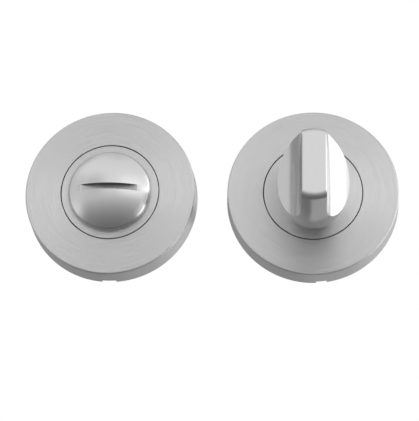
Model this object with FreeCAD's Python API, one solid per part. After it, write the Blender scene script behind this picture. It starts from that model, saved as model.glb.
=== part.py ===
import FreeCAD, Part
import math
import os

# Two halves of one bathroom lock, each on a round rose: the inside thumb turn and the
# outside coin release. Each half is modelled about its own axis, with z = 0 on the door
# and +z towards the room, and is then stood upright: +Z up, front facing -Y, door at y = 0.
# All sizes are in millimetres.

# Layout: the gap between the two roses, and where the fixings lie outside the cover's hole
ROSE_SPACING = 9.0
FIXING_OFFSET = 4.09

# Snap-on rose cover
ROSE_MARGIN = 7.0
ROSE_DRAFT = 0.4
COVER_WALL = 1.2
COVER_EDGE_RADIUS = 0.45
COVER_HOLE_CHAMFER = 0.1
PRY_NOTCH_HEIGHT = 1.3
TURN_NOTCH_WIDTH = 3.2
TURN_NOTCH_OFFSET = 2.5
RELEASE_NOTCH_WIDTH = 4.2
RELEASE_NOTCH_OFFSET = 0.0
SNAP_COUNT = 3
SNAP_RADIUS = 0.75
SNAP_HEIGHT = 2.4
SNAP_CLEARANCE = 0.05

# Moulded back plate inside the cover
PLATE_CLEARANCE = 0.3
PLATE_RIM_WALL = 2.4
PLATE_FLOOR = 2.4
PLATE_EDGE_RADIUS = 0.4
SNAP_GROOVE_DEPTH = 0.7
HUB_WALL = 3.2
HUB_FLOOR = 2.65
RIB_COUNT = 12
RIB_THICKNESS = 1.4
TRENCH_LIP = 0.8
TRENCH_DEPTH = 2.0
BOSS_WALL = 1.4

# Flush face disc
DISC_GAP = 0.22
DISC_THICKNESS = 1.5
DISC_CHAMFER = 0.12
DISC_BORE_CLEARANCE = 0.3
DISC_RIM = 3.69
COLLAR_INSET = 2.15
COLLAR_WALL = 1.2
COLLAR_DEPTH = 1.2
PRESS_CLEARANCE = 0.02
COLLAR_END_CLEARANCE = 0.2

# Shank, bush and the stack that holds the shank in
SHANK_RADIUS = 6.0
SHANK_TAIL = 6.0
SHANK_CHAMFER = 0.5
RUNNING_CLEARANCE = 0.05
BUSH_WALL = 1.6
BUSH_FLANGE = 1.0
BUSH_FLANGE_WIDTH = 1.7
SPRING_THICKNESS = 0.4
SPRING_RISE = 0.35
SPRING_WIDTH = 2.6
WASHER_THICKNESS = 0.8
WASHER_WIDTH = 3.2
LOOSE_CLEARANCE = 0.3
CLIP_PLAY = 0.1
CLIP_THICKNESS = 1.0
CLIP_SINK = 0.2
CLIP_GROOVE_DEPTH = 0.5
CLIP_BAND = 1.5
CLIP_OFFSET = 0.3
CLIP_GAP_ANGLE = 36.0
CLIP_EAR_RADIUS = 1.25
CLIP_EAR_HOLE = 0.55
GROOVE_CLEARANCE = 0.05
RECESS_MARGIN = 0.4

# Thumb turn grip
GRIP_GAP = 0.3
GRIP_HEIGHT = 26.0
GRIP_LENGTH = 28.4
GRIP_WIDTH = 21.0
GRIP_RIM_HEIGHT = 9.2
GRIP_BASE_LENGTH = 19.2
GRIP_BASE_WIDTH = 14.4
NOSE_DRAW_IN = 1.1
GRIP_TOP_LENGTH = 20.6
GRIP_TOP_WIDTH = 20.4
GRIP_END_ROUND = 2.2
BLADE_WIDTH = 7.1
BLADE_DEPTH = 6.0
BLADE_EDGE_RADIUS = 0.35
FLANK_HOLLOW_RADIUS = 11.2

# Release button
BUTTON_RADIUS = 12.45
BUTTON_HEIGHT = 5.8
BUTTON_WALL = 1.3
BUTTON_EDGE_RADIUS = 1.6
COIN_SLOT_WIDTH = 1.9
COIN_SLOT_DEPTH = 2.6
COIN_CUTTER_RADIUS = 60.0
BUTTON_FLOOR = 1.0

# Square spindle and its sockets
SPINDLE_SIZE = 5.0
SPINDLE_REACH = 52.0
SPINDLE_CHAMFER = 0.6
SOCKET_CLEARANCE = 0.05
SOCKET_DEPTH = 20.0
SPINDLE_END_CLEARANCE = 0.5
PIN_RADIUS = 1.0
PIN_SETBACK = 2.8
PIN_END_GAP = 0.2

# Fixing bolts and the threaded posts that they screw into through the door
HEAD_RADIUS = 4.0
HEAD_HEIGHT = 2.3
HEAD_ROUND = 0.9
HEAD_CLEARANCE = 0.4
HEAD_TOP_CLEARANCE = 0.5
BOLT_RADIUS = 2.0
BOLT_LENGTH = 45.0
BOLT_NECK_RADIUS = 1.75
NECK_REACH = 2.0
BOLT_TIP_CHAMFER = 0.6
POST_RADIUS = 3.0
POST_LENGTH = 30.0
POST_BORE_RADIUS = 1.65
POST_SOLID_LENGTH = 6.0
POST_CHAMFER = 0.4
FIXING_CLEARANCE = 0.15
DRIVE_LENGTH = 4.4
DRIVE_WIDTH = 0.9
DRIVE_DEPTH = 1.4

# Heights worked out from the door outwards: clip, washer, spring, bush, hub, disc
CLIP_BACK = CLIP_SINK
CLIP_FRONT = CLIP_BACK + CLIP_THICKNESS
WASHER_BACK = CLIP_FRONT + CLIP_PLAY
SPRING_BACK = WASHER_BACK + WASHER_THICKNESS
SPRING_HEIGHT = SPRING_THICKNESS + SPRING_RISE
FLANGE_BACK = SPRING_BACK + SPRING_HEIGHT
RECESS_FLOOR = FLANGE_BACK + BUSH_FLANGE
DISC_SEAT = RECESS_FLOOR + HUB_FLOOR
ROSE_HEIGHT = DISC_SEAT + DISC_THICKNESS
COVER_INSIDE = ROSE_HEIGHT - COVER_WALL
HEAD_TOP = COVER_INSIDE - HEAD_TOP_CLEARANCE
HEAD_SEAT = HEAD_TOP - HEAD_HEIGHT
GRIP_BASE = ROSE_HEIGHT + GRIP_GAP
GRIP_TOP = ROSE_HEIGHT + GRIP_HEIGHT
BUTTON_TOP = ROSE_HEIGHT + BUTTON_HEIGHT
SLOT_FLOOR = BUTTON_TOP - COIN_SLOT_DEPTH
GRIP_SOCKET_TOP = SOCKET_DEPTH - SHANK_TAIL
BUTTON_SOCKET_TOP = SLOT_FLOOR - BUTTON_FLOOR
PIN_HEIGHT = PIN_SETBACK - SHANK_TAIL

# Radii worked out from the shank outwards: bush, recess, hub, collar, disc, cover
BUSH_BORE = SHANK_RADIUS + RUNNING_CLEARANCE
BUSH_RADIUS = BUSH_BORE + BUSH_WALL
BUSH_FLANGE_RADIUS = BUSH_RADIUS + BUSH_FLANGE_WIDTH
LOOSE_BORE = SHANK_RADIUS + LOOSE_CLEARANCE
RECESS_RADIUS = max(BUSH_FLANGE_RADIUS, LOOSE_BORE + WASHER_WIDTH) + RECESS_MARGIN
HUB_RADIUS = RECESS_RADIUS + HUB_WALL
COLLAR_BORE = BUSH_RADIUS + COLLAR_INSET
COLLAR_RADIUS = COLLAR_BORE + COLLAR_WALL
DISC_RADIUS = COLLAR_RADIUS + DISC_RIM
COVER_HOLE_RADIUS = DISC_RADIUS + DISC_GAP
FIXING_RADIUS = COVER_HOLE_RADIUS + FIXING_OFFSET
HEAD_WELL_RADIUS = HEAD_RADIUS + HEAD_CLEARANCE
BOSS_RADIUS = HEAD_WELL_RADIUS + BOSS_WALL
ROSE_BACK_RADIUS = FIXING_RADIUS + ROSE_MARGIN
ROSE_FACE_RADIUS = ROSE_BACK_RADIUS - ROSE_DRAFT
PLATE_RADIUS = ROSE_FACE_RADIUS - COVER_WALL - PLATE_CLEARANCE
CENTRE_DISTANCE = 2 * ROSE_BACK_RADIUS + ROSE_SPACING

ORIGIN = FreeCAD.Vector(0, 0, 0)
OUTWARD = FreeCAD.Vector(0, 0, 1)
ACROSS = FreeCAD.Vector(1, 0, 0)
MARGIN = 1.0
NEAR = 1e-3


def point(x, y, z):
    return FreeCAD.Vector(x, y, z)


def rounded_corner(before, corner, after, radius):
    """Where an arc of this radius leaves and joins two straight sides, and its middle."""
    back = (before - corner).normalize()
    forward = (after - corner).normalize()
    half_angle = back.getAngle(forward) / 2
    run = radius / math.tan(half_angle)
    middle_way = (back + forward).normalize()
    centre = corner + middle_way * (radius / math.sin(half_angle))
    return corner + back * run, centre - middle_way * radius, corner + forward * run


def rounded_outline(corners):
    """Closed face through (x, y, z, corner radius) corners, each rounded by its radius."""
    places = [point(x, y, z) for x, y, z, radius in corners]
    arcs = []
    for index, corner in enumerate(corners):
        before = places[index - 1]
        after = places[(index + 1) % len(places)]
        radius = corner[3]
        if radius > 0:
            arcs.append(rounded_corner(before, places[index], after, radius))
        else:
            arcs.append((places[index], None, places[index]))
    edges = []
    for index, (start, middle, end) in enumerate(arcs):
        if middle is not None:
            edges.append(Part.Arc(start, middle, end).toShape())
        following = arcs[(index + 1) % len(arcs)][0]
        if end.distanceToPoint(following) > NEAR:
            edges.append(Part.LineSegment(end, following).toShape())
    return Part.Face(Part.Wire(edges))


def turned(profile):
    """Solid turned about the z axis from (radius, height, corner radius) corners."""
    corners = [(radius, 0, height, corner) for radius, height, corner in profile]
    return rounded_outline(corners).revolve(ORIGIN, OUTWARD, 360)


def cylinder(radius, low, high, x=0.0, y=0.0):
    return Part.makeCylinder(radius, high - low, point(x, y, low), OUTWARD)


def ring(inner, outer, low, high):
    return cylinder(outer, low, high).cut(cylinder(inner, low - MARGIN, high + MARGIN))


def block(width, depth, low, high, x=0.0, y=0.0):
    """Upright box centred on x and y."""
    corner = point(x - width / 2, y - depth / 2, low)
    return Part.makeBox(width, depth, high - low, corner)


def fixing_places():
    return [(side * FIXING_RADIUS, 0.0) for side in (-1, 1)]


def cover_inner_radius(height):
    """Inside radius of the drafted cover wall at a height above the door."""
    return ROSE_BACK_RADIUS - COVER_WALL - ROSE_DRAFT * height / ROSE_HEIGHT


def rose_cover(notch_width, notch_offset):
    """Pressed cover: drafted wall, flat face, central hole, snap dimples and pry notch."""
    chamfer = COVER_HOLE_CHAMFER
    cover = turned([
        (ROSE_BACK_RADIUS, 0, 0),
        (ROSE_FACE_RADIUS, ROSE_HEIGHT, COVER_EDGE_RADIUS),
        (COVER_HOLE_RADIUS + chamfer, ROSE_HEIGHT, 0),
        (COVER_HOLE_RADIUS, ROSE_HEIGHT - chamfer, 0),
        (COVER_HOLE_RADIUS, COVER_INSIDE, 0),
        (cover_inner_radius(COVER_INSIDE), COVER_INSIDE, 0),
        (cover_inner_radius(0), 0, 0),
    ])
    wall = cover_inner_radius(SNAP_HEIGHT)
    for index in range(SNAP_COUNT):
        angle = math.radians(90 + index * 360 / SNAP_COUNT)
        centre = point(wall * math.cos(angle), wall * math.sin(angle), SNAP_HEIGHT)
        dimple = Part.makeSphere(SNAP_RADIUS, centre)
        cover = cover.fuse(dimple)
    notch_depth = 2 * COVER_WALL
    notch = block(notch_width, notch_depth, -MARGIN, PRY_NOTCH_HEIGHT, notch_offset, -ROSE_BACK_RADIUS)
    return cover.cut(notch)


def plate_blank():
    """Turned form of the back plate: rim with snap groove, trench under the gap, hub seat."""
    groove_half = SNAP_RADIUS + SNAP_CLEARANCE
    groove = PLATE_RADIUS - SNAP_GROOVE_DEPTH
    trench_floor = DISC_SEAT - TRENCH_DEPTH
    return turned([
        (0, 0, 0),
        (PLATE_RADIUS, 0, PLATE_EDGE_RADIUS),
        (PLATE_RADIUS, SNAP_HEIGHT - groove_half, 0),
        (groove, SNAP_HEIGHT - groove_half, 0),
        (groove, SNAP_HEIGHT + groove_half, 0),
        (PLATE_RADIUS, SNAP_HEIGHT + groove_half, 0),
        (PLATE_RADIUS, COVER_INSIDE, PLATE_EDGE_RADIUS),
        (COVER_HOLE_RADIUS + TRENCH_LIP, COVER_INSIDE, 0),
        (COVER_HOLE_RADIUS + TRENCH_LIP, trench_floor, 0),
        (DISC_RADIUS - TRENCH_LIP, trench_floor, 0),
        (DISC_RADIUS - TRENCH_LIP, DISC_SEAT, 0),
        (0, DISC_SEAT, 0),
    ])


def plate_pockets():
    """Hollows behind the plate, between the hub, the rim, the ribs and the fixing bosses."""
    rim_inside = PLATE_RADIUS - SNAP_GROOVE_DEPTH - PLATE_RIM_WALL
    ceiling = DISC_SEAT - TRENCH_DEPTH - PLATE_FLOOR
    pockets = ring(HUB_RADIUS, rim_inside, -MARGIN, ceiling)
    for index in range(RIB_COUNT):
        angle = (index + 0.5) * 360 / RIB_COUNT
        rib = block(2 * PLATE_RADIUS, RIB_THICKNESS, -2 * MARGIN, ceiling + MARGIN, PLATE_RADIUS)
        rib.rotate(ORIGIN, OUTWARD, angle)
        pockets = pockets.cut(rib)
    for x, y in fixing_places():
        pockets = pockets.cut(cylinder(BOSS_RADIUS, -2 * MARGIN, ceiling + MARGIN, x, y))
    return pockets


def collar_groove():
    """Groove in the hub that takes the collar of the face disc."""
    outer = COLLAR_RADIUS + PRESS_CLEARANCE
    inner = COLLAR_BORE - PRESS_CLEARANCE
    floor = DISC_SEAT - COLLAR_DEPTH - COLLAR_END_CLEARANCE
    return ring(inner, outer, floor, DISC_SEAT + MARGIN)


def back_plate(fixing_radius):
    """Moulded plate with hub bore, back recess, fixing holes, head wells and pockets."""
    plate = plate_blank().cut(plate_pockets())
    plate = plate.cut(cylinder(BUSH_RADIUS + PRESS_CLEARANCE, -MARGIN, ROSE_HEIGHT))
    plate = plate.cut(cylinder(RECESS_RADIUS, -MARGIN, RECESS_FLOOR))
    plate = plate.cut(collar_groove())
    for x, y in fixing_places():
        hole = cylinder(fixing_radius + FIXING_CLEARANCE, -MARGIN, ROSE_HEIGHT, x, y)
        well = cylinder(HEAD_WELL_RADIUS, HEAD_SEAT, ROSE_HEIGHT, x, y)
        plate = plate.cut(hole).cut(well)
    return plate


def face_disc():
    """Flush disc with a bevelled rim and a collar pressed into the hub."""
    bore = SHANK_RADIUS + DISC_BORE_CLEARANCE
    collar_end = DISC_SEAT - COLLAR_DEPTH
    return turned([
        (bore, DISC_SEAT, 0),
        (COLLAR_BORE, DISC_SEAT, 0),
        (COLLAR_BORE, collar_end, 0),
        (COLLAR_RADIUS, collar_end, 0),
        (COLLAR_RADIUS, DISC_SEAT, 0),
        (DISC_RADIUS, DISC_SEAT, 0),
        (DISC_RADIUS, ROSE_HEIGHT - DISC_CHAMFER, 0),
        (DISC_RADIUS - DISC_CHAMFER, ROSE_HEIGHT, 0),
        (bore, ROSE_HEIGHT, 0),
    ])


def bush():
    """Flanged bush that the shank turns in."""
    return turned([
        (BUSH_BORE, FLANGE_BACK, 0),
        (BUSH_FLANGE_RADIUS, FLANGE_BACK, 0),
        (BUSH_FLANGE_RADIUS, RECESS_FLOOR, 0),
        (BUSH_RADIUS, RECESS_FLOOR, 0),
        (BUSH_RADIUS, DISC_SEAT, 0),
        (BUSH_BORE, DISC_SEAT, 0),
    ])


def disc_spring():
    """Coned spring washer, small end on the thrust washer and large end on the bush."""
    outer = LOOSE_BORE + SPRING_WIDTH
    return turned([
        (LOOSE_BORE, SPRING_BACK, 0),
        (outer, SPRING_BACK + SPRING_RISE, 0),
        (outer, SPRING_BACK + SPRING_HEIGHT, 0),
        (LOOSE_BORE, SPRING_BACK + SPRING_THICKNESS, 0),
    ])


def thrust_washer():
    return ring(LOOSE_BORE, LOOSE_BORE + WASHER_WIDTH, WASHER_BACK, SPRING_BACK)


def retaining_clip():
    """External clip: a band that thickens away from its gap, with a holed ear at each end."""
    inner = SHANK_RADIUS - CLIP_GROOVE_DEPTH + GROOVE_CLEARANCE
    outer = inner + CLIP_BAND
    band = cylinder(outer, CLIP_BACK, CLIP_FRONT, 0, CLIP_OFFSET)
    ear_place = inner + CLIP_EAR_RADIUS
    half_gap = math.radians(CLIP_GAP_ANGLE / 2)
    lean = math.asin(CLIP_EAR_RADIUS / ear_place) + half_gap
    ears = [(side * ear_place * math.sin(lean), -ear_place * math.cos(lean)) for side in (-1, 1)]
    for x, y in ears:
        band = band.fuse(cylinder(CLIP_EAR_RADIUS, CLIP_BACK, CLIP_FRONT, x, y))
    band = band.cut(cylinder(inner, -MARGIN, ROSE_HEIGHT))
    reach = 2 * outer
    spread = reach * math.tan(half_gap)
    gap = Part.makePolygon([
        point(0, 0, 0), point(-spread, -reach, 0), point(spread, -reach, 0), point(0, 0, 0),
    ])
    band = band.cut(Part.Face(gap).extrude(OUTWARD * ROSE_HEIGHT))
    for x, y in ears:
        band = band.cut(cylinder(CLIP_EAR_HOLE, -MARGIN, ROSE_HEIGHT, x, y))
    return band


def square_socket(top):
    size = SPINDLE_SIZE + 2 * SOCKET_CLEARANCE
    return block(size, size, -SHANK_TAIL - MARGIN, top)


def shank(top):
    """Round shank with its clip groove, from the tail up into the grip or the button."""
    body = turned([
        (0, -SHANK_TAIL, 0),
        (SHANK_RADIUS - SHANK_CHAMFER, -SHANK_TAIL, 0),
        (SHANK_RADIUS, -SHANK_TAIL + SHANK_CHAMFER, 0),
        (SHANK_RADIUS, top, 0),
        (0, top, 0),
    ])
    groove = ring(
        SHANK_RADIUS - CLIP_GROOVE_DEPTH,
        SHANK_RADIUS + MARGIN,
        CLIP_BACK - GROOVE_CLEARANCE,
        CLIP_FRONT + GROOVE_CLEARANCE,
    )
    return body.cut(groove)


def oval(width, length, height):
    """Closed oval outline, longest along y."""
    long_end = point(0, length / 2, height)
    broad_side = point(-width / 2, 0, height)
    return Part.Wire(Part.Ellipse(long_end, broad_side, point(0, 0, height)).toShape())


def grip_blank():
    """Oval blank of the grip: widest at its rim, drawn in to the base and, along two noses, to the top."""
    rim = ROSE_HEIGHT + GRIP_RIM_HEIGHT
    middle = (rim + GRIP_TOP) / 2
    body = Part.makeLoft([
        oval(GRIP_BASE_WIDTH, GRIP_BASE_LENGTH, GRIP_BASE),
        oval(GRIP_WIDTH, GRIP_LENGTH, rim),
        oval(GRIP_WIDTH, GRIP_LENGTH - 2 * NOSE_DRAW_IN, middle),
        oval(GRIP_TOP_WIDTH, GRIP_TOP_LENGTH, GRIP_TOP),
    ], True)
    top = [edge for edge in body.Edges if edge.BoundBox.ZMin > GRIP_TOP - NEAR]
    return body.makeFillet(GRIP_END_ROUND, top)


def blade_edges(bar):
    """The two long top edges of the flank bar."""
    found = []
    for edge in bar.Edges:
        box = edge.BoundBox
        if box.XLength < NEAR and box.ZMin > GRIP_TOP - NEAR:
            found.append(edge)
    return found


def flank_arc(side, blade, reach, half_length):
    """Hollow that leaves the blade's side upright and sweeps out to the rim."""
    high = GRIP_TOP - BLADE_DEPTH
    centre_x = blade + FLANK_HOLLOW_RADIUS
    sweep = math.acos((centre_x - reach) / FLANK_HOLLOW_RADIUS)
    spots = [
        (
            centre_x - FLANK_HOLLOW_RADIUS * math.cos(turn),
            high - FLANK_HOLLOW_RADIUS * math.sin(turn),
        )
        for turn in (0.0, sweep / 2, sweep)
    ]
    return [point(side * x, -half_length, z) for x, z in spots]


def flank_bar():
    """Bar along y whose section has the flat top, the upright blade and both hollow flanks."""
    blade = BLADE_WIDTH / 2
    reach = GRIP_WIDTH / 2 + MARGIN
    half_length = GRIP_LENGTH / 2 + MARGIN
    low = GRIP_BASE - MARGIN
    edges = [Part.makeLine(point(-blade, -half_length, GRIP_TOP), point(blade, -half_length, GRIP_TOP))]
    for side in (-1, 1):
        top = point(side * blade, -half_length, GRIP_TOP)
        upper, middle, outer = flank_arc(side, blade, reach, half_length)
        foot = point(side * reach, -half_length, low)
        edges.append(Part.makeLine(top, upper))
        edges.append(Part.Arc(upper, middle, outer).toShape())
        edges.append(Part.makeLine(outer, foot))
    edges.append(Part.makeLine(point(-reach, -half_length, low), point(reach, -half_length, low)))
    section = Part.Face(Part.Wire(Part.__sortEdges__(edges)))
    bar = section.extrude(point(0, 2 * half_length, 0))
    return bar.makeFillet(BLADE_EDGE_RADIUS, blade_edges(bar))


def grip():
    """Thumb turn grip: a blade on an oval foot, cut from the blank by its two hollow flanks."""
    return grip_blank().common(flank_bar())


def thumb_turn():
    """Grip and shank in one piece, with a square socket and a cross hole for its pin."""
    body = grip().fuse(shank(GRIP_BASE + MARGIN))
    body = body.cut(square_socket(GRIP_SOCKET_TOP))
    return body.cut(cross_hole(SHANK_RADIUS + MARGIN)).removeSplitter()


def cross_hole(half_length):
    radius = PIN_RADIUS + PRESS_CLEARANCE
    start = point(-half_length, 0, PIN_HEIGHT)
    return Part.makeCylinder(radius, 2 * half_length, start, ACROSS)


def spindle_pin():
    half_length = SHANK_RADIUS - PIN_END_GAP
    start = point(-half_length, 0, PIN_HEIGHT)
    return Part.makeCylinder(PIN_RADIUS, 2 * half_length, start, ACROSS)


def spindle():
    """Square spindle, bevelled at its free end and drilled for the pin."""
    top = GRIP_SOCKET_TOP - SPINDLE_END_CLEARANCE
    bar = block(SPINDLE_SIZE, SPINDLE_SIZE, -SPINDLE_REACH, top)
    free_end = [edge for edge in bar.Edges if edge.BoundBox.ZMax < -SPINDLE_REACH + NEAR]
    bar = bar.makeChamfer(SPINDLE_CHAMFER, free_end)
    return bar.cut(cross_hole(SPINDLE_SIZE))


def button_dome():
    """Domed button: short wall, rolled edge and a shallow spherical crown."""
    wall_top = ROSE_HEIGHT + BUTTON_WALL
    rise = BUTTON_TOP - wall_top
    crown = (BUTTON_RADIUS ** 2 + rise ** 2) / (2 * rise)
    ball = Part.makeSphere(crown, point(0, 0, BUTTON_TOP - crown))
    dome = cylinder(BUTTON_RADIUS, GRIP_BASE, BUTTON_TOP + MARGIN).common(ball)
    rim = [
        edge for edge in dome.Edges
        if abs(edge.BoundBox.ZMax - wall_top) < NEAR and edge.BoundBox.ZLength < NEAR
    ]
    return dome.makeFillet(BUTTON_EDGE_RADIUS, rim)


def coin_slot():
    """Path of the disc cutter that makes the coin slot."""
    start = point(0, -COIN_SLOT_WIDTH / 2, SLOT_FLOOR + COIN_CUTTER_RADIUS)
    return Part.makeCylinder(COIN_CUTTER_RADIUS, COIN_SLOT_WIDTH, start, point(0, 1, 0))


def release_button():
    """Dome and shank in one piece, with the coin slot in front and a socket behind."""
    body = button_dome().cut(coin_slot())
    body = body.fuse(shank(GRIP_BASE + MARGIN))
    return body.cut(square_socket(BUTTON_SOCKET_TOP)).removeSplitter()


def cross_drive(top, x, y):
    """Cross recess sunk into a screw head."""
    arms = block(DRIVE_LENGTH, DRIVE_WIDTH, top - DRIVE_DEPTH, top + MARGIN, x, y)
    return arms.fuse(block(DRIVE_WIDTH, DRIVE_LENGTH, top - DRIVE_DEPTH, top + MARGIN, x, y))


def fixing_blank(radius, length, tip_chamfer):
    """Turned pan head and stem, seated on the plate with the stem towards the door."""
    tip = HEAD_SEAT - length
    return turned([
        (0, tip, 0),
        (radius - tip_chamfer, tip, 0),
        (radius, tip + tip_chamfer, 0),
        (radius, HEAD_SEAT, 0),
        (HEAD_RADIUS, HEAD_SEAT, 0),
        (HEAD_RADIUS, HEAD_TOP, HEAD_ROUND),
        (0, HEAD_TOP, 0),
    ])


def pair(blank):
    """Both fixings of one half, each with its cross recess, as separate solids."""
    pieces = []
    for x, y in fixing_places():
        piece = blank.copy()
        piece.translate(point(x, y, 0))
        pieces.append(piece.cut(cross_drive(HEAD_TOP, x, y)))
    return Part.makeCompound(pieces)


def fixing_bolts():
    """Bolts with a reduced neck from under the head to just past the door face."""
    blank = fixing_blank(BOLT_RADIUS, BOLT_LENGTH, BOLT_TIP_CHAMFER)
    return pair(blank.cut(ring(BOLT_NECK_RADIUS, BOLT_RADIUS + MARGIN, -NECK_REACH, HEAD_SEAT)))


def fixing_posts():
    """Posts bored from their free end for the bolts of the other half."""
    blank = fixing_blank(POST_RADIUS, POST_LENGTH, POST_CHAMFER)
    tip = HEAD_SEAT - POST_LENGTH
    return pair(blank.cut(cylinder(POST_BORE_RADIUS, tip - MARGIN, HEAD_SEAT - POST_SOLID_LENGTH)))


def turn_half():
    return {
        "turn_rose_cover": rose_cover(TURN_NOTCH_WIDTH, TURN_NOTCH_OFFSET),
        "turn_back_plate": back_plate(BOLT_RADIUS),
        "turn_face_disc": face_disc(),
        "turn_bush": bush(),
        "turn_disc_spring": disc_spring(),
        "turn_thrust_washer": thrust_washer(),
        "turn_retaining_clip": retaining_clip(),
        "turn_fixing_bolts": fixing_bolts(),
        "thumb_turn": thumb_turn(),
        "spindle": spindle(),
        "spindle_pin": spindle_pin(),
    }


def release_half():
    return {
        "release_rose_cover": rose_cover(RELEASE_NOTCH_WIDTH, RELEASE_NOTCH_OFFSET),
        "release_back_plate": back_plate(POST_RADIUS),
        "release_face_disc": face_disc(),
        "release_bush": bush(),
        "release_disc_spring": disc_spring(),
        "release_thrust_washer": thrust_washer(),
        "release_retaining_clip": retaining_clip(),
        "release_fixing_posts": fixing_posts(),
        "release_button": release_button(),
    }


def stand_up(shape, x):
    """Turn a piece so that its outward axis faces the room, and set its half in place."""
    upright = shape.copy()
    upright.rotate(ORIGIN, ACROSS, 90)
    upright.translate(point(x, 0, 0))
    return upright


def main():
    os.makedirs("parts", exist_ok=True)
    halves = [(turn_half(), 0.0), (release_half(), -CENTRE_DISTANCE)]
    for pieces, x in halves:
        for name, shape in pieces.items():
            stand_up(shape, x).exportStep(os.path.join("parts", name + ".step"))


main()
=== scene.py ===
"""Looks of a bathroom lock set: an inside thumb turn and an outside coin release, each on a round rose.

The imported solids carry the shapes. This script gives every one of them its finish, cuts the threads of
the bolts and the posts, and sets the studio and the camera of the photograph. Lengths are in metres, in
the frame of the solids: +Z up, the fronts facing -Y and the door on the plane Y = 0.
"""

import logging
import math
from dataclasses import dataclass
from enum import Enum

import bmesh
import bpy
from mathutils import Matrix, Vector


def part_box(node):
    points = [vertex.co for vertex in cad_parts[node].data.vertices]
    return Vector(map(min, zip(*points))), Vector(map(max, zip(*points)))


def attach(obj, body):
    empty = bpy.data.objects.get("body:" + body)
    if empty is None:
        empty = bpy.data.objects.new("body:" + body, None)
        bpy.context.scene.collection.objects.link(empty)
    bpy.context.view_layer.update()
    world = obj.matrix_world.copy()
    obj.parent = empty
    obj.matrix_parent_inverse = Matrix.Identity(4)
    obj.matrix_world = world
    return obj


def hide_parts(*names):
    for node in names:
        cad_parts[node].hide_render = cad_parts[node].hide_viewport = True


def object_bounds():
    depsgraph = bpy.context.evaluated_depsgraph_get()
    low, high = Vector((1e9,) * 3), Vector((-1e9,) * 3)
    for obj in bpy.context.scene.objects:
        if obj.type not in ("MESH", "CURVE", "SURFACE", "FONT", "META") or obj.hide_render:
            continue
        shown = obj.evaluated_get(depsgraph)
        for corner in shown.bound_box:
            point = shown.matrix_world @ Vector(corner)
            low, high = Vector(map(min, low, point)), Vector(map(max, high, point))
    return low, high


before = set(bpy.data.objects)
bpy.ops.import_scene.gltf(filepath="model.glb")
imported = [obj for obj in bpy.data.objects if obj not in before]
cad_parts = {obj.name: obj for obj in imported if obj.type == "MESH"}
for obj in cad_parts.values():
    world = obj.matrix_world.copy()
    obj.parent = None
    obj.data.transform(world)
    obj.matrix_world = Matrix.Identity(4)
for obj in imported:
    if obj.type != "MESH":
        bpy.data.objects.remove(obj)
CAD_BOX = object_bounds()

log = logging.getLogger("lock_set")

MILLIMETRE = 0.001
WELD = 0.001 * MILLIMETRE
ON_AXIS = 1e-12
PHOTO_SIZE = (419, 421)
SENSOR_WIDTH = 36.0
ROOT_BODY = "root"

Colour = tuple[float, float, float]


def linked(name: str, data: bpy.types.ID) -> bpy.types.Object:
    """New object in the scene.

    Args:
        name: the object's name.
        data: its mesh, lamp or camera.

    Returns:
        The object.
    """
    made = bpy.data.objects.new(name, data)
    bpy.context.scene.collection.objects.link(made)
    return made


class Shade:
    """One value in a node graph; sums written on it become Math nodes."""

    def __init__(self, graph: "Graph", socket: bpy.types.NodeSocket) -> None:
        """Wrap an output socket.

        Args:
            graph: the graph that the socket belongs to.
            socket: the output socket that carries the value.
        """
        self.graph = graph
        self.socket = socket

    def _maths(self, operation: str, *values: "Shade | float") -> "Shade":
        """Add one Math node.

        Args:
            operation: the node's operation.
            values: its inputs, in order.

        Returns:
            The node's result.
        """
        return self.graph.node("ShaderNodeMath", {"operation": operation}, dict(enumerate(values)))

    def __add__(self, other: "Shade | float") -> "Shade":
        """Sum of two values."""
        return self._maths("ADD", self, other)

    def __radd__(self, other: float) -> "Shade":
        """Sum with a number on the left."""
        return self._maths("ADD", other, self)

    def __sub__(self, other: "Shade | float") -> "Shade":
        """Difference of two values."""
        return self._maths("SUBTRACT", self, other)

    def __rsub__(self, other: float) -> "Shade":
        """Difference from a number on the left."""
        return self._maths("SUBTRACT", other, self)

    def __mul__(self, other: "Shade | float") -> "Shade":
        """Product of two values."""
        return self._maths("MULTIPLY", self, other)

    def __rmul__(self, other: float) -> "Shade":
        """Product with a number on the left."""
        return self._maths("MULTIPLY", other, self)

    def __truediv__(self, other: "Shade | float") -> "Shade":
        """Quotient of two values."""
        return self._maths("DIVIDE", self, other)

    def __rtruediv__(self, other: float) -> "Shade":
        """Quotient with a number above."""
        return self._maths("DIVIDE", other, self)

    def __pow__(self, power: float) -> "Shade":
        """Power of a value."""
        return self._maths("POWER", self, power)

    def least(self, other: "Shade | float") -> "Shade":
        """Smaller of two values."""
        return self._maths("MINIMUM", self, other)

    def most(self, other: "Shade | float") -> "Shade":
        """Larger of two values."""
        return self._maths("MAXIMUM", self, other)

    def size(self) -> "Shade":
        """Value without its sign."""
        return self._maths("ABSOLUTE", self)

    def fraction(self) -> "Shade":
        """What is left after the whole number."""
        return self._maths("FRACT", self)

    def cosine(self) -> "Shade":
        """Cosine of an angle in radians."""
        return self._maths("COSINE", self)

    def sine(self) -> "Shade":
        """Sine of an angle in radians."""
        return self._maths("SINE", self)

    def angle_over(self, other: "Shade | float") -> "Shade":
        """Angle whose tangent is this value over another, in radians."""
        return self._maths("ARCTAN2", self, other)

    def within(self, low: float, high: float, soft: float) -> "Shade":
        """One between two limits and zero outside them, with soft edges.

        Args:
            low: lower limit, where the value is half.
            high: upper limit, where the value is half.
            soft: width of each edge.

        Returns:
            The mask.
        """
        rise = ((self - (low - soft / 2)) / soft).most(0.0).least(1.0)
        fall = (((high + soft / 2) - self) / soft).most(0.0).least(1.0)
        return rise * fall


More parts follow.
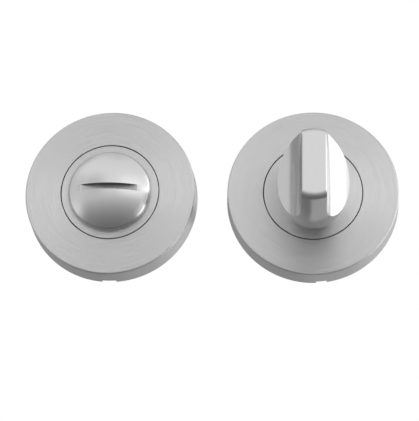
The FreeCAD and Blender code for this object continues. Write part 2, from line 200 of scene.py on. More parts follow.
class Graph:
    """A node tree that is filled from Python expressions."""

    def __init__(self, tree: bpy.types.NodeTree) -> None:
        """Start on an emptied tree.

        Args:
            tree: the tree of a material, a world or a modifier.
        """
        self.tree = tree
        self.tree.nodes.clear()

    def node(
        self,
        kind: str,
        settings: dict[str, object] | None = None,
        values: dict[int | str, object] | None = None,
        output: int | str = 0,
    ) -> Shade:
        """Add a node.

        Args:
            kind: the node's type.
            settings: its own settings, which are set first; "stops" fills a colour ramp.
            values: what goes into its sockets, as numbers or as links.
            output: the socket to hand back.

        Returns:
            The chosen output, ready for sums.
        """
        made = self.tree.nodes.new(kind)
        for key, value in (settings or {}).items():
            if key == "stops":
                self._fill_ramp(made.color_ramp, value)
            else:
                setattr(made, key, value)
        for key, value in (values or {}).items():
            if isinstance(value, Shade):
                self.tree.links.new(value.socket, made.inputs[key])
            else:
                made.inputs[key].default_value = value
        return Shade(self, made.outputs[output] if made.outputs else None)

    @staticmethod
    def _fill_ramp(ramp: bpy.types.ColorRamp, stops: list[tuple[float, float]]) -> None:
        """Set a ramp's stops.

        Args:
            ramp: the ramp of a Color Ramp node.
            stops: (place, grey level) pairs, from left to right.
        """
        while len(ramp.elements) < len(stops):
            ramp.elements.new(0.5)
        for element, (place, level) in zip(ramp.elements, stops):
            element.position = place
            element.color = (level, level, level, 1.0)

    def vector(self, operation: str, *values: object) -> Shade:
        """Vector Math on links or plain vectors.

        Args:
            operation: the node's operation.
            values: its inputs, in order.

        Returns:
            The result.
        """
        return self.node("ShaderNodeVectorMath", {"operation": operation}, dict(enumerate(values)))

    def outlets(self, kind: str, *names: str) -> list[Shade]:
        """Some of the outputs of one node.

        Args:
            kind: the node's type.
            names: names of the outputs.

        Returns:
            Those outputs, in the same order.
        """
        made = self.node(kind).socket.node
        return [Shade(self, made.outputs[name]) for name in names]

    def joined(self, x: object, y: object, z: object) -> Shade:
        """Vector from its three parts."""
        return self.node("ShaderNodeCombineXYZ", None, {0: x, 1: y, 2: z})

    def parted(self, vector: Shade) -> tuple[Shade, Shade, Shade]:
        """The three parts of a vector."""
        first = self.node("ShaderNodeSeparateXYZ", None, {0: vector})
        parts = first.socket.node.outputs
        return Shade(self, parts[0]), Shade(self, parts[1]), Shade(self, parts[2])

    def noise(self, vector: Shade, scale: float, detail: float, roughness: float = 0.5) -> Shade:
        """Soft noise between 0 and 1.

        Args:
            vector: where it is read.
            scale: features per unit of that vector.
            detail: octaves of finer noise.
            roughness: how strong the finer octaves are.

        Returns:
            The noise value.
        """
        values = {"Vector": vector, "Scale": scale, "Detail": detail, "Roughness": roughness}
        return self.node("ShaderNodeTexNoise", None, values)

    def bump(self, height: Shade, strength: float, depth: float) -> Shade:
        """Normal of an uneven skin.

        Args:
            height: the unevenness, from 0 to 1.
            strength: how much of it shows.
            depth: height of a full step.

        Returns:
            The normal.
        """
        return self.node("ShaderNodeBump", None, {"Strength": strength, "Distance": depth, "Height": height})

    def blend(self, amount: Shade, first: Colour, second: Colour) -> Shade:
        """Colour between two colours.

        Args:
            amount: 0 for the first, 1 for the second.
            first: colour at 0.
            second: colour at 1.

        Returns:
            The mixed colour.
        """
        settings = {"data_type": "RGBA"}
        values = {0: amount, 6: (*first, 1.0), 7: (*second, 1.0)}
        return self.node("ShaderNodeMix", settings, values, 2)


class Finish:
    """What every finish shares: a named material with one principled shader."""

    name: str

    def material(self) -> bpy.types.Material:
        """Build the material.

        Returns:
            The finished material.
        """
        made = bpy.data.materials.new(self.name)
        made.use_nodes = True
        graph = Graph(made.node_tree)
        shader = graph.node("ShaderNodeBsdfPrincipled", None, self.sockets(graph))
        graph.node("ShaderNodeOutputMaterial", None, {"Surface": shader})
        return made

    def sockets(self, graph: Graph) -> dict[str, object]:
        """What feeds the shader, which each finish has of its own.

        Args:
            graph: the material's graph.

        Returns:
            The shader's sockets and what goes into them.
        """
        raise NotImplementedError

    @staticmethod
    def toned(colour: Colour, factor: float) -> Colour:
        """Colour made darker or lighter, up to white."""
        return tuple(min(1.0, factor * part) for part in colour)

    @staticmethod
    def place(graph: Graph) -> Shade:
        """Where on the piece, in metres, moving with it."""
        return graph.node("ShaderNodeTexCoord", None, None, "Object")

    @staticmethod
    def own_normal(graph: Graph) -> Shade:
        """Normal of the face, in the piece's own axes."""
        settings = {"vector_type": "NORMAL", "convert_from": "WORLD", "convert_to": "OBJECT"}
        normal = graph.node("ShaderNodeNewGeometry", None, None, "True Normal")
        return graph.node("ShaderNodeVectorTransform", settings, {0: normal})

    @staticmethod
    def leaned(graph: Graph, strokes: Shade, lean: Shade) -> Shade:
        """Normal leaned across the brush strokes.

        Args:
            graph: the material's graph.
            strokes: direction of the strokes, in the piece's own axes.
            lean: how far to lean, about 0, in radians.

        Returns:
            The leaned normal.
        """
        settings = {"vector_type": "VECTOR", "convert_from": "OBJECT", "convert_to": "WORLD"}
        along = graph.node("ShaderNodeVectorTransform", settings, {0: strokes})
        normal = graph.node("ShaderNodeNewGeometry", None, None, "Normal")
        across = graph.vector("CROSS_PRODUCT", normal, along)
        step = graph.vector("MULTIPLY", across, graph.joined(lean, lean, lean))
        return graph.vector("NORMALIZE", graph.vector("ADD", normal, step))


@dataclass(frozen=True)
class TurnedSteel(Finish):
    """Stainless steel with fine brush lines in circles about an axis along Y.

    Attributes:
        name: the material's name.
        centre_x: where the axis is.
        colour: reflectance of the steel.
        contrast: how much the lines change the colour, as a share of it.
        roughness: gloss between the lines.
        pitch: width of one brush line.
        band: width of a band of like lines, in lines.
        scratches: how many fine scratches make up one line.
        strokes: how often a line fades and comes back in one turn.
        cloud: size of the cloudy patches.
        lean: how far the lines lean the surface, in radians.
        rim: radius past which the lines lean the surface less.
        rim_lean: share of the lean that is left past the rim.
        slot: width and length of a slot cut across the axis, duller than the rest, with painted shade in it.
        slot_floor_shade: painted shade of the slot's floor, given as its reflectance.
        slot_wall_shade: painted shade of the slot's walls, given as its reflectance.
    """

    name: str
    centre_x: float
    colour: Colour = (0.62, 0.62, 0.62)
    contrast: float = 0.03
    roughness: float = 0.32
    pitch: float = 0.025 * MILLIMETRE
    band: float = 9.0
    scratches: float = 8.0
    strokes: float = 3.0
    cloud: float = 6.25 * MILLIMETRE
    lean: float = 0.98
    rim: float = 25.6 * MILLIMETRE
    rim_lean: float = 0.25
    slot: tuple[float, float] = (0.0, 0.0)
    slot_floor_shade: float = 0.5
    slot_wall_shade: float = 0.22

    def sockets(self, graph: Graph) -> dict[str, object]:
        """What feeds the shader.

        Args:
            graph: the material's graph.

        Returns:
            The shader's sockets and what goes into them.
        """
        x, y, z = graph.parted(self.place(graph))
        x = x - self.centre_x
        radius = (x * x + z * z + ON_AXIS) ** 0.5
        circling = graph.joined(z / radius, 0.0, -1.0 * x / radius)
        turn = self.strokes / (2 * math.pi)
        across, up, out = turn * x / radius, turn * z / radius, (radius + y) / self.pitch
        lines = graph.noise(graph.joined(across, up, out), 1.0, 2.0)
        bands = graph.noise(graph.joined(across, up, out / self.band), 1.0, 1.0)
        clouds = graph.noise(graph.joined(x, y, z), 1 / self.cloud, 2.0)
        tone = 0.6 * lines + 0.15 * bands + 0.25 * clouds
        dark, light = self.toned(self.colour, 1 - self.contrast), self.toned(self.colour, 1 + self.contrast)
        shine = graph.blend(tone, dark, light)
        gloss = self.roughness + 0.08 * (clouds - 0.5) + 0.04 * (bands - 0.5)
        # The slot's walls and floor get painted shade: a colour darker than the steel inside the cut.
        if self.slot[0]:
            shine, gloss = self.shade_and_dull_slot(graph, x, z, shine, gloss)
        past_rim = radius.within(self.rim, 2 * self.rim, 0.2 * MILLIMETRE)
        calm = 1.0 - (1.0 - self.rim_lean) * past_rim
        scratch = (self.scratches * lines).fraction() - 0.5
        return {
            "Base Color": shine,
            "Metallic": 1.0,
            "Roughness": gloss,
            "Normal": self.leaned(graph, circling, self.lean * calm * scratch),
        }

    def shade_and_dull_slot(self, graph: Graph, x: Shade, z: Shade, shine: Shade, gloss: Shade) -> tuple[Shade, Shade]:
        """Paint shade into the inside of the slot, and dull it.

        Args:
            graph: the material's graph.
            x: distance from the axis along the slot.
            z: distance from the axis across the slot.
            shine: colour of the steel.
            gloss: roughness of the steel.

        Returns:
            Colour with the slot's painted shade in it, and roughness with its dullness.
        """
        width, length = self.slot
        edge = 0.02 * MILLIMETRE
        steep = 0.7
        _, _, upright = graph.parted(self.own_normal(graph))
        wall = upright.size().within(steep, 1 + steep, 0.2)
        floor = x.within(-length / 2 + edge, length / 2 - edge, length / 8)
        inside = z.within(-width / 2 - edge, width / 2 + edge, edge) * wall.most(floor)
        # Painted shade: the slot's walls and floor are coloured darker than the steel, the walls darkest,
        # varied by noise.
        level = self.slot_floor_shade + (self.slot_wall_shade - self.slot_floor_shade) * wall
        painted_slot_shade = level * (0.8 + 0.4 * graph.noise(graph.joined(x, 0.0, z), 900.0, 3.0))
        cut = graph.joined(painted_slot_shade, painted_slot_shade, painted_slot_shade)
        mixed = graph.node("ShaderNodeMix", {"data_type": "RGBA"}, {0: inside, 6: shine, 7: cut}, 2)
        return mixed, gloss + 0.2 * inside


@dataclass(frozen=True)
class LinishedSteel(Finish):
    """Stainless steel with fine straight lines along one direction.

    Attributes:
        name: the material's name.
        along: direction of the lines.
        colour: reflectance of the steel.
        contrast: how much the lines change the colour, as a share of it.
        roughness: gloss between the lines.
        pitch: width of one line.
        length: how long a line is.
        cloud: size of the cloudy patches.
        lean: how far the lines lean the surface, in radians.
    """

    name: str
    along: tuple[float, float, float] = (0.0, 0.0, 1.0)
    colour: Colour = (0.64, 0.64, 0.64)
    contrast: float = 0.06
    roughness: float = 0.22
    pitch: float = 0.06 * MILLIMETRE
    length: float = 3.0 * MILLIMETRE
    cloud: float = 4.5 * MILLIMETRE
    lean: float = 0.2

    def sockets(self, graph: Graph) -> dict[str, object]:
        """What feeds the shader.

        Args:
            graph: the material's graph.

        Returns:
            The shader's sockets and what goes into them.
        """
        place = self.place(graph)
        fine = self.drawn(self.length, self.pitch)
        lines = graph.noise(graph.vector("MULTIPLY", place, fine), 1.0, 2.0)
        wide = self.drawn(3 * self.length, 8 * self.pitch)
        bands = graph.noise(graph.vector("MULTIPLY", place, wide), 1.0, 1.0)
        clouds = graph.noise(place, 1 / self.cloud, 2.0)
        tone = 0.5 * lines + 0.25 * bands + 0.25 * clouds
        dark, light = self.toned(self.colour, 1 - self.contrast), self.toned(self.colour, 1 + self.contrast)
        direction = graph.vector("NORMALIZE", self.along)
        return {
            "Base Color": graph.blend(tone, dark, light),
            "Metallic": 1.0,
            "Roughness": self.roughness + 0.1 * (clouds - 0.5) + 0.06 * (bands - 0.5),
            "Normal": self.leaned(graph, direction, self.lean * (lines - 0.5)),
        }

    def drawn(self, length: float, width: float) -> tuple[float, ...]:
        """Features in a metre along each axis, for marks that are drawn out along the lines.

        Args:
            length: how long a mark is.
            width: how wide it is.

        Returns:
            Features in a metre along X, Y and Z.
        """
        return tuple(abs(part) / length + (1 - abs(part)) / width for part in self.along)


@dataclass(frozen=True)
class MouldedNylon(Finish):
    """Moulded nylon with a fine spark-eroded skin and faint flow marks.

    Attributes:
        name: the material's name.
        colour: colour of the plastic.
        contrast: how much the marks change the colour, as a share of it.
        roughness: gloss of the skin.
        grain: size of the skin's grain.
        depth: height of the grain.
        flow: flow marks in a metre along each axis.
    """

    name: str
    colour: Colour = (0.035, 0.035, 0.037)
    contrast: float = 0.15
    roughness: float = 0.48
    grain: float = 0.25 * MILLIMETRE
    depth: float = 0.012 * MILLIMETRE
    flow: tuple[float, float, float] = (90.0, 220.0, 130.0)

    def sockets(self, graph: Graph) -> dict[str, object]:
        """What feeds the shader.

        Args:
            graph: the material's graph.

        Returns:
            The shader's sockets and what goes into them.
        """
        place = self.place(graph)
        grain = graph.noise(place, 1 / self.grain, 3.0)
        flow = graph.noise(graph.vector("MULTIPLY", place, self.flow), 1.0, 2.0)
        dark, light = self.toned(self.colour, 1 - self.contrast), self.toned(self.colour, 1 + self.contrast)
        return {
            "Base Color": graph.blend(0.4 * grain + 0.6 * flow, dark, light),
            "Roughness": self.roughness + 0.2 * (flow - 0.5),
            "Normal": graph.bump(grain, 0.6, self.depth),
        }


@dataclass(frozen=True)
class PlatedSteel(Finish):
    """Small steel part with a thin bright plating, mottled and handled.

    Attributes:
        name: the material's name.
        colour: colour of the plating where it is thin.
        bloom: colour of the plating where it is thick.
        roughness: gloss of the plating.
        mottle: size of the crystals and stains.
        depth: height of the surface's unevenness.
    """

    name: str
    colour: Colour = (0.6, 0.6, 0.61)
    bloom: Colour = (0.68, 0.69, 0.72)
    roughness: float = 0.26
    mottle: float = 0.8 * MILLIMETRE
    depth: float = 0.006 * MILLIMETRE

    def sockets(self, graph: Graph) -> dict[str, object]:
        """What feeds the shader.

        Args:
            graph: the material's graph.

        Returns:
            The shader's sockets and what goes into them.
        """
        place = self.place(graph)
        mottle = graph.noise(place, 1 / self.mottle, 4.0, 0.6)
        stain = graph.noise(place, 1 / (6 * self.mottle), 2.0)
        return {
            "Base Color": graph.blend(0.5 * mottle + 0.5 * stain, self.colour, self.bloom),
            "Metallic": 1.0,
            "Roughness": self.roughness + 0.18 * (stain - 0.5) + 0.1 * (mottle - 0.5),
            "Normal": graph.bump(mottle, 0.5, self.depth),
        }


def bare_mesh(node: str, name: str) -> bpy.types.Object:
    """Copy of a solid's mesh with its doubles merged, as a new object.

    Args:
        node: the solid's node.
        name: name of the new object.

    Returns:
        The new object, linked and with no material.
    """
    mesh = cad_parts[node].data.copy()
    mesh.name = name
    mesh.materials.clear()
    work = bmesh.new()
    work.from_mesh(mesh)
    bmesh.ops.remove_doubles(work, verts=work.verts, dist=WELD)
    work.to_mesh(mesh)
    work.free()
    return linked(name, mesh)


def dress(node: str, material: bpy.types.Material) -> None:
    """Give a solid its finish.

    Args:
        node: the solid's node.
        material: the finish.
    """
    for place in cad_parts[node].material_slots:
        place.material = material
    log.info("dressed %s in %s", node, material.name)


class ThreadSide(Enum):
    """Which side of its wall a thread is cut into."""

    OUTSIDE = "outside"
    INSIDE = "inside"


@dataclass
class ThreadedStem:
    """A pair of threaded stems along Y, one in each fixing place.

    Attributes:
        name: the piece's name.
        side: outside thread on a stem, or inside thread in a bore.
        start: where the thread begins, along Y.
        end: where it ends.
        crest: radius of the crests.
        root: radius of the roots.
        plain: radius at both ends, where the thread has run out.
        runout: length over which it runs out.
        pitch: from crest to crest.
        centre_x: middle between the two stems.
        spacing: distance between the two stems.
        segments: faces around.
        rows_per_turn: rows of faces to each turn.
        steepness: how much steeper the flanks are than a plain triangle's.
        sharp: angle from which an edge stays sharp, in radians.
    """

    name: str
    side: ThreadSide
    start: float
    end: float
    crest: float
    root: float
    plain: float
    runout: float
    pitch: float
    centre_x: float
    spacing: float
    segments: int = 28
    rows_per_turn: int = 8
    steepness: float = 1.6
    sharp: float = math.radians(35)

    def sizes(self) -> dict[str, float]:
        """Names and values of the tree's inputs."""
        return {
            "Length": self.end - self.start, "Crest": self.crest, "Root": self.root, "Plain": self.plain,
            "Runout": self.runout, "Pitch": self.pitch, "Spacing": self.spacing,
        }

    def tree(self, material: bpy.types.Material) -> bpy.types.NodeTree:
        """Geometry Nodes tree that rolls a grid into a threaded wall and sets it in both places.

        Args:
            material: finish of the thread.

        Returns:
            The tree, with its sizes as named inputs.
        """
        tree = bpy.data.node_groups.new(self.name + "_tree", "GeometryNodeTree")
        graph = Graph(tree)
        tree.interface.new_socket("Geometry", in_out="OUTPUT", socket_type="NodeSocketGeometry")
        for label in self.sizes():
            tree.interface.new_socket(label, in_out="INPUT", socket_type="NodeSocketFloat")
        length, crest, root, plain, runout, pitch, spacing = graph.outlets("NodeGroupInput", *self.sizes())
        rows = int(self.rows_per_turn * (self.end - self.start) / self.pitch)
        grid = graph.node("GeometryNodeMeshGrid", None, {
            "Size X": 1.0, "Size Y": length, "Vertices X": self.segments + 1, "Vertices Y": rows,
        })
        around, along, _ = graph.parted(graph.node("GeometryNodeInputPosition"))
        around = around + 0.5
        along = along + 0.5 * length
        angle = 2 * math.pi * around
        ridge = (2.0 * (along / pitch + around).fraction() - 1.0).size()
        flank = (self.steepness * (ridge - 0.5) + 0.5).most(0.0).least(1.0)
        wall = root + (crest - root) * flank
        inside = (along.least(length - along) / runout).least(1.0)
        radius = plain + (wall - plain) * inside
        rolled = graph.node("GeometryNodeSetPosition", None, {
            "Geometry": grid,
            "Position": graph.joined(radius * angle.cosine(), along, radius * angle.sine()),
        })
        welded = graph.node("GeometryNodeMergeByDistance", None, {"Geometry": rolled, "Distance": WELD})
        points = graph.node("GeometryNodeMeshLine", {"mode": "END_POINTS"}, {
            "Count": 2,
            "Start Location": graph.joined(-0.5 * spacing, 0.0, 0.0),
            "Offset": graph.joined(0.5 * spacing, 0.0, 0.0),
        })
        placed = graph.node("GeometryNodeInstanceOnPoints", None, {"Points": points, "Instance": welded})
        real = graph.node("GeometryNodeRealizeInstances", None, {"Geometry": placed})
        dressed = graph.node("GeometryNodeSetMaterial", None, {"Geometry": real, "Material": material})
        graph.node("NodeGroupOutput", None, {0: dressed})
        return tree

    def build(self, material: bpy.types.Material) -> bpy.types.Object:
        """Grow the thread and bake it to a plain mesh.

        Args:
            material: finish of the thread.

        Returns:
            The finished piece.
        """
        tree = self.tree(material)
        seed = linked(self.name + "_seed", bpy.data.meshes.new(self.name + "_seed"))
        modifier = seed.modifiers.new("thread", "NODES")
        modifier.node_group = tree
        for item in tree.interface.items_tree:
            if item.in_out == "INPUT":
                modifier[item.identifier] = self.sizes()[item.name]
        evaluated = seed.evaluated_get(bpy.context.evaluated_depsgraph_get())
        mesh = bpy.data.meshes.new_from_object(evaluated)
        seed.modifiers.clear()
        bpy.data.objects.remove(seed)
        mesh.transform(Matrix.Translation((self.centre_x, self.start, 0.0)))
        work = bmesh.new()
        work.from_mesh(mesh)
        bmesh.ops.recalc_face_normals(work, faces=work.faces)
        if self.side is ThreadSide.INSIDE:
            bmesh.ops.reverse_faces(work, faces=work.faces)
        work.to_mesh(mesh)
        work.free()
        mesh.shade_smooth()
        mesh.set_sharp_from_angle(angle=self.sharp)
        return linked(self.name, mesh)


@dataclass
class Fixings:
    """What both kinds of fixing share: a pair of solids that get their threads here.

    Attributes:
        node: the solids' node.
        spacing: distance between the two.
        pitch: pitch of the thread.
        sharp: angle from which an edge of the solids stays sharp, in radians.
    """

    node: str
    spacing: float = 38.0 * MILLIMETRE
    pitch: float = 0.7 * MILLIMETRE
    sharp: float = math.radians(28)

    def settle(self, made: bpy.types.Object, finish: bpy.types.Material | None = None) -> None:
        """Set a piece on the rose's body; with a finish, it stands in for the solids.

        Args:
            made: the piece.
            finish: the plating, for a piece made from the solids' own mesh.
        """
        if finish:
            made.data.materials.append(finish)
            made.data.shade_smooth()
            made.data.set_sharp_from_angle(angle=self.sharp)
            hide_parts(self.node)
        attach(made, ROOT_BODY)
        log.info("built %s with %d faces", made.name, len(made.data.polygons))


@dataclass
class FixingBolts(Fixings):
    """The two bolts of the inside half: heads and necks from the solids, and cut threads.

    Attributes:
        node: the solids' node.
        thread_start: where the neck ends, along Y.
        tip: length of the plain, bevelled tip.
        crest: outer radius of the thread.
        root: core radius of the thread.
    """

    node: str = "turn_fixing_bolts"
    thread_start: float = 2.0 * MILLIMETRE
    tip: float = 0.6 * MILLIMETRE
    crest: float = 2.0 * MILLIMETRE
    root: float = 1.62 * MILLIMETRE

    def build(self, finish: bpy.types.Material) -> None:
        """Build the bolts and set them on the rose's body.

        Args:
            finish: the plating.
        """
        _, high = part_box(self.node)
        ends = bare_mesh(self.node, "bolt_heads_and_tips")
        self.clear_stem(ends, self.thread_start + self.pitch / 2, high.y - self.tip)
        self.settle(ends, finish)
        self.settle(ThreadedStem(
            name="bolt_threads", side=ThreadSide.OUTSIDE,
            start=self.thread_start, end=high.y,
            crest=self.crest, root=self.root, plain=self.root, runout=2 * self.pitch, pitch=self.pitch,
            centre_x=0.0, spacing=self.spacing,
        ).build(finish))

    @staticmethod
    def clear_stem(made: bpy.types.Object, low: float, high: float) -> None:
        """Remove the plain wall of the stems between two heights.

        Args:
            made: the copied solids.
            low: lower end, along Y.
            high: upper end, along Y.
        """
        work = bmesh.new()
        work.from_mesh(made.data)
        for height in (low, high):
            parts = work.verts[:] + work.edges[:] + work.faces[:]
            bmesh.ops.bisect_plane(work, geom=parts, plane_co=(0, height, 0), plane_no=(0, 1, 0))
        gone = [face for face in work.faces if low < face.calc_center_median().y < high]
        bmesh.ops.delete(work, geom=gone, context="FACES")
        work.to_mesh(made.data)
        work.free()


@dataclass
class FixingPosts(Fixings):
    """The two posts of the outside half: outer walls from the solids, and threads cut in the bores.

    Attributes:
        node: the solids' node.
        centre_x: middle between the two posts.
        depth: depth of the bores from the free ends.
        crest: core radius of the thread, which the solids' bores have.
        root: outer radius of the thread.
        spare: how far past the bores' radius a wall still counts as theirs.
    """

    node: str = "release_fixing_posts"
    centre_x: float = 0.0
    depth: float = 24.0 * MILLIMETRE
    crest: float = 1.65 * MILLIMETRE
    root: float = 2.0 * MILLIMETRE
    spare: float = 0.05 * MILLIMETRE

    def build(self, finish: bpy.types.Material) -> None:
        """Build the posts and set them on the rose's body.

        Args:
            finish: the plating.
        """
        _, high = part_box(self.node)
        walls = bare_mesh(self.node, "post_walls")
        self.clear_bores(walls)
        self.settle(walls, finish)
        self.settle(ThreadedStem(
            name="post_threads", side=ThreadSide.INSIDE,
            start=high.y - self.depth, end=high.y,
            crest=self.crest, root=self.root, plain=self.crest, runout=self.pitch, pitch=self.pitch,
            centre_x=self.centre_x, spacing=self.spacing,
        ).build(finish))

    def clear_bores(self, made: bpy.types.Object) -> None:
        """Remove the plain walls of the bores.

        Args:
            made: the copied solids.
        """
        work = bmesh.new()
        work.from_mesh(made.data)
        reach = self.crest + self.spare
        gone = [
            face for face in work.faces
            if abs(face.normal.y) < 0.5 and all(self.off_axis(vert.co) < reach for vert in face.verts)
        ]
        bmesh.ops.delete(work, geom=gone, context="FACES")
        work.to_mesh(made.data)
        work.free()

    def off_axis(self, point: Vector) -> float:
        """Distance of a point from the axis of its post.

        Args:
            point: the point.

        Returns:
            The distance.
        """
        aside = abs(point.x - self.centre_x) - self.spacing / 2
        return math.hypot(aside, point.z)


@dataclass
class RoseHalf:
    """Rose, plate and turning stack that both halves of the lock share.

    Attributes:
        prefix: start of the half's node names.
        centre_x: where the axis of the half is.
    """

    prefix: str
    centre_x: float

    def dress(self) -> None:
        """Give every shared piece of this half its finish."""
        turned = {
            "rose_cover": TurnedSteel(self.prefix + "_cover_steel", self.centre_x),
            "face_disc": TurnedSteel(self.prefix + "_disc_steel", self.centre_x, strokes=7.0),
            "bush": TurnedSteel(
                self.prefix + "_brass", self.centre_x, colour=(0.75, 0.6, 0.32), roughness=0.3, lean=0.2,
            ),
        }
        plain = {
            "back_plate": MouldedNylon(self.prefix + "_black_nylon"),
            "thrust_washer": MouldedNylon(self.prefix + "_natural_nylon", colour=(0.78, 0.77, 0.72)),
            "disc_spring": PlatedSteel(
                self.prefix + "_spring_steel",
                colour=(0.22, 0.22, 0.23), bloom=(0.32, 0.31, 0.3), roughness=0.35,
            ),
            "retaining_clip": PlatedSteel(
                self.prefix + "_clip_steel",
                colour=(0.2, 0.2, 0.21), bloom=(0.3, 0.29, 0.28), roughness=0.38,
            ),
        }
        for piece, finish in {**turned, **plain}.items():
            dress(f"{self.prefix}_{piece}", finish.material())


@dataclass
class ThumbTurn:
    """Grip, spindle and cross pin of the inside half.

    Attributes:
        grip_roughness: gloss of the grip.
        bar_roughness: gloss of the spindle's drawn bar.
        bar_along: direction in which the bar was drawn.
    """

    grip_roughness: float = 0.2
    bar_roughness: float = 0.3
    bar_along: tuple[float, float, float] = (0.0, 1.0, 0.0)

    def dress(self) -> None:
        """Give the grip, the spindle and the pin their finishes."""
        bar = LinishedSteel("drawn_bar", along=self.bar_along, roughness=self.bar_roughness)
        dress("thumb_turn", LinishedSteel("grip_steel_satin", roughness=self.grip_roughness).material())
        dress("spindle", bar.material())
        dress("spindle_pin", PlatedSteel("pin_steel").material())


@dataclass
class ReleaseButton:
    """Coin release of the outside half.

    Attributes:
        centre_x: where its axis is.
        slot_width: width of the coin slot.
        slot_length: length of the coin slot across the dome.
    """

    centre_x: float
    slot_width: float = 1.9 * MILLIMETRE
    slot_length: float = 17.7 * MILLIMETRE

    def dress(self) -> None:
        """Give the button its finish."""
        dress("release_button", TurnedSteel(
            "button_steel_satin", self.centre_x, colour=(0.64, 0.64, 0.64), roughness=0.2, lean=0.12,
            pitch=0.1 * MILLIMETRE, strokes=9.0, slot=(self.slot_width, self.slot_length),
        ).material())


@dataclass(frozen=True)
class Softbox:
    """A rectangular lamp that looks at the lock.

    Attributes:
        name: the lamp's name.
        towards: direction from the lock to the lamp.
        distance: how far off it is.
        width: width of its face.
        height: height of its face.
        radiance: brightness of its face, where 1 is white.
    """

    name: str
    towards: tuple[float, float, float]
    distance: float
    width: float
    height: float
    radiance: float

    def build(self, centre: Vector) -> None:
        """Set the lamp up.

        Args:
            centre: middle of the lock.
        """
        data = bpy.data.lights.new(self.name, "AREA")
        data.shape = "RECTANGLE"
        data.size = self.width
        data.size_y = self.height
        data.energy = self.radiance * math.pi * self.width * self.height
        lamp = linked(self.name, data)
        direction = Vector(self.towards).normalized()
        lamp.location = centre + direction * self.distance
        lamp.visible_glossy = False
        lamp.rotation_mode = "QUATERNION"
        lamp.rotation_quaternion = direction.to_track_quat("Z", "Y")


@dataclass(frozen=True)
class LightPanel:
    """A lit panel in the room that the metal mirrors.

    Attributes:
        turn: where it starts and ends around the room, in degrees from the front, right hand positive.
        climb: sine of the elevation of its lower and upper edge.
        level: how bright it is.
        soft: width of its soft edges, in radians.
        slant: how far it leans to the right, in degrees from its middle height to the zenith.
    """

    turn: tuple[float, float]
    climb: tuple[float, float]
    level: float
    soft: float = 0.2
    slant: float = 0.0

    def over(self, room: Shade, azimuth: Shade, climb: Shade) -> Shade:
        """Lay the panel over the room.

        Args:
            room: level of the room without it.
            azimuth: angle from the front, in radians.
            climb: sine of the elevation.

        Returns:
            Level of the room with it.
        """
        start, end = (math.radians(part) for part in self.turn)
        upright = azimuth - math.radians(self.slant) * climb
        mask = upright.within(start, end, self.soft) * climb.within(*self.climb, self.soft)
        return room + (self.level - room) * mask


@dataclass
class Surroundings:
    """What the metal mirrors: a light room that falls off to a dark floor, with panels at its sides.

    Attributes:
        radius: how far off the room is.
        front: (sine of the elevation, level) stops of the room.
        panels: lit and dark panels at the sides and behind.
    """

    radius: float = 2.5
    front: tuple[tuple[float, float], ...] = (
        (-1.0, 0.16), (-0.77, 0.21), (-0.6, 0.29), (-0.42, 0.38), (-0.2, 0.56),
        (0.0, 0.76), (0.31, 1.03), (0.8, 1.0), (0.95, 0.95), (1.0, 0.78),
    )
    panels: tuple[LightPanel, ...] = (
        LightPanel((-98.0, -50.0), (0.0, 0.6), 0.8),
        LightPanel((-50.0, -17.0), (0.0, 0.6), 0.72, 0.25),
        LightPanel((12.0, 60.0), (0.1, 0.6), 1.3, 0.25),
        LightPanel((-98.0, -60.0), (-0.4, 0.0), 1.0, 0.25),
        LightPanel((-200.0, -91.0), (-0.45, 0.95), 0.38),
        LightPanel((94.0, 200.0), (-0.45, 0.95), 0.5),
        LightPanel((-200.0, -170.0), (-0.95, -0.5), 0.46, 0.15),
        LightPanel((120.0, 200.0), (-0.95, -0.5), 0.46, 0.15),
        LightPanel((70.0, 152.0), (-0.5, 0.45), 1.08),
        LightPanel((64.0, 82.0), (-0.5, 0.68), 2.4, 0.1, slant=16.5),
        LightPanel((58.0, 152.0), (0.25, 0.37), 2.1, 0.1),
    )

    def build(self) -> bpy.types.Object:
        """Build the room as a ball that only reflections see.

        Returns:
            The ball.
        """
        work = bmesh.new()
        bmesh.ops.create_icosphere(work, subdivisions=4, radius=self.radius)
        mesh = bpy.data.meshes.new("surroundings")
        work.to_mesh(mesh)
        work.free()
        mesh.materials.append(self.material())
        made = linked("surroundings", mesh)
        for rays in ("camera", "diffuse", "transmission", "volume_scatter", "shadow"):
            setattr(made, "visible_" + rays, False)
        return made

    def material(self) -> bpy.types.Material:
        """Glow of the room by direction.

        Returns:
            The material.
        """
        material = bpy.data.materials.new("surroundings")
        material.use_nodes = True
        material.cycles.emission_sampling = "NONE"
        graph = Graph(material.node_tree)
        x, y, z = graph.parted(graph.vector("NORMALIZE", Finish.place(graph)))
        stops = [((sine + 1) / 2, level) for sine, level in self.front]
        level = graph.node("ShaderNodeValToRGB", {"stops": stops}, {0: 0.5 * z + 0.5})
        azimuth = x.angle_over(-1.0 * y)
        for panel in self.panels:
            level = panel.over(level, azimuth, z)
        glow = graph.node("ShaderNodeEmission", None, {"Color": (1, 1, 1, 1), "Strength": level})
        graph.node("ShaderNodeOutputMaterial", None, {"Surface": glow})
        return material


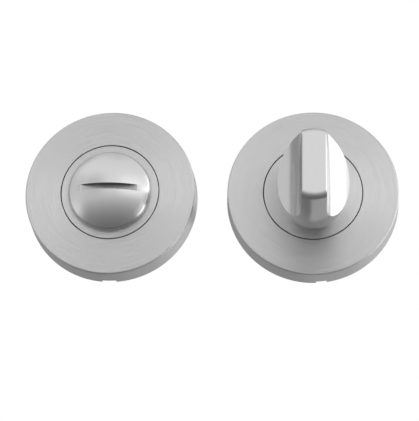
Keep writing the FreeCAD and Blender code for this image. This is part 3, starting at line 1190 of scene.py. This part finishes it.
@dataclass
class Studio:
    """White background, a pale floor, the room that the metal mirrors, and a soft lamp.

    Attributes:
        floor_height: height of the floor.
        floor_size: side of the floor.
        floor_level: how light the floor is.
        daylight: level of the white surroundings where they light matt things.
        lamp: the softbox at the right.
    """

    floor_height: float = -0.30
    floor_size: float = 3.0
    floor_level: float = 0.8
    daylight: float = 0.8
    lamp: Softbox = Softbox(
        "right_softbox", towards=(0.8, -0.5, 0.3), distance=0.9, width=0.4, height=0.6, radiance=2.6,
    )

    def build(self) -> None:
        """Set up the world, the floor, the room and the lamp."""
        low, high = CAD_BOX
        self.world()
        self.floor()
        Surroundings().build()
        self.lamp.build((low + high) / 2)
        log.info("set up the floor, the surroundings and %s", self.lamp.name)

    def world(self) -> None:
        """White surroundings, seen directly and in metal, and a softer level of light from them."""
        world = bpy.data.worlds.new("white_surroundings")
        bpy.context.scene.world = world
        world.use_nodes = True
        graph = Graph(world.node_tree)
        camera, glossy, through = graph.outlets(
            "ShaderNodeLightPath", "Is Camera Ray", "Is Glossy Ray", "Is Transmission Ray",
        )
        seen = (camera + glossy).most(through)
        soft = graph.node("ShaderNodeBackground", None, {"Color": (1, 1, 1, 1), "Strength": self.daylight})
        white = graph.node("ShaderNodeBackground", None, {"Color": (1, 1, 1, 1), "Strength": 1.0})
        mixed = graph.node("ShaderNodeMixShader", None, {0: seen, 1: soft, 2: white})
        graph.node("ShaderNodeOutputWorld", None, {"Surface": mixed})

    def floor(self) -> bpy.types.Object:
        """Plain pale floor that the metal doesn't mirror.

        Returns:
            The floor.
        """
        half = self.floor_size / 2
        corners = [
            (x, y, self.floor_height) for x, y in ((-half, -half), (half, -half), (half, half), (-half, half))
        ]
        mesh = bpy.data.meshes.new("floor")
        mesh.from_pydata(corners, [], [(0, 1, 2, 3)])
        made = linked("floor", mesh)
        made.visible_glossy = False
        paint = bpy.data.materials.new("pale_floor")
        paint.use_nodes = True
        graph = Graph(paint.node_tree)
        level = self.floor_level
        shader = graph.node("ShaderNodeBsdfDiffuse", None, {"Color": (level, level, level, 1.0)})
        graph.node("ShaderNodeOutputMaterial", None, {"Surface": shader})
        mesh.materials.append(paint)
        return made


@dataclass
class PhotoCamera:
    """The photograph's camera: a little below the roses, looking up at both.

    Attributes:
        target: point that the camera looks at, in the plane of the rose faces.
        distance: from that point to the camera.
        below: angle below the horizon, in radians.
        aside: angle to the right, in radians.
        roll: turn about the line of sight, in radians.
        focal_length: in pixels of the photograph.
        near: nearest thing that it shows.
    """

    target: tuple[float, float, float] = (-0.030861, -0.008, -0.005901)
    distance: float = 0.450
    below: float = 0.315
    aside: float = 0.058
    roll: float = 0.020
    focal_length: float = 1506.6
    near: float = 0.01

    def build(self) -> None:
        """Place the camera and make it the scene's."""
        towards = Vector((
            math.sin(self.aside) * math.cos(self.below),
            -math.cos(self.aside) * math.cos(self.below),
            -math.sin(self.below),
        )).normalized()
        flat_right = (-towards).cross(Vector((0, 0, 1))).normalized()
        flat_up = flat_right.cross(-towards)
        right = flat_right * math.cos(self.roll) + flat_up * math.sin(self.roll)
        up = flat_up * math.cos(self.roll) - flat_right * math.sin(self.roll)
        data = bpy.data.cameras.new("photo_camera")
        data.sensor_width = SENSOR_WIDTH
        data.lens = SENSOR_WIDTH * self.focal_length / max(PHOTO_SIZE)
        data.clip_start = self.near
        camera = linked("photo_camera", data)
        rotation = Matrix((right, up, towards)).transposed()
        place = Vector(self.target) + towards * self.distance
        camera.matrix_world = Matrix.Translation(place) @ rotation.to_4x4()
        bpy.context.scene.camera = camera


def main() -> None:
    """Dress both halves, build the threads, and set the studio and the camera."""
    logging.basicConfig(level=logging.INFO, format="%(name)s: %(message)s")
    bpy.context.scene.view_settings.view_transform = "Standard"
    release_low, release_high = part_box("release_rose_cover")
    release_x = (release_low.x + release_high.x) / 2
    RoseHalf("turn", 0.0).dress()
    RoseHalf("release", release_x).dress()
    ThumbTurn().dress()
    ReleaseButton(release_x).dress()
    zinc = PlatedSteel("zinc_plate").material()
    FixingBolts().build(zinc)
    FixingPosts(centre_x=release_x).build(zinc)
    Studio().build()
    PhotoCamera().build()


if __name__ == "__main__":
    main()
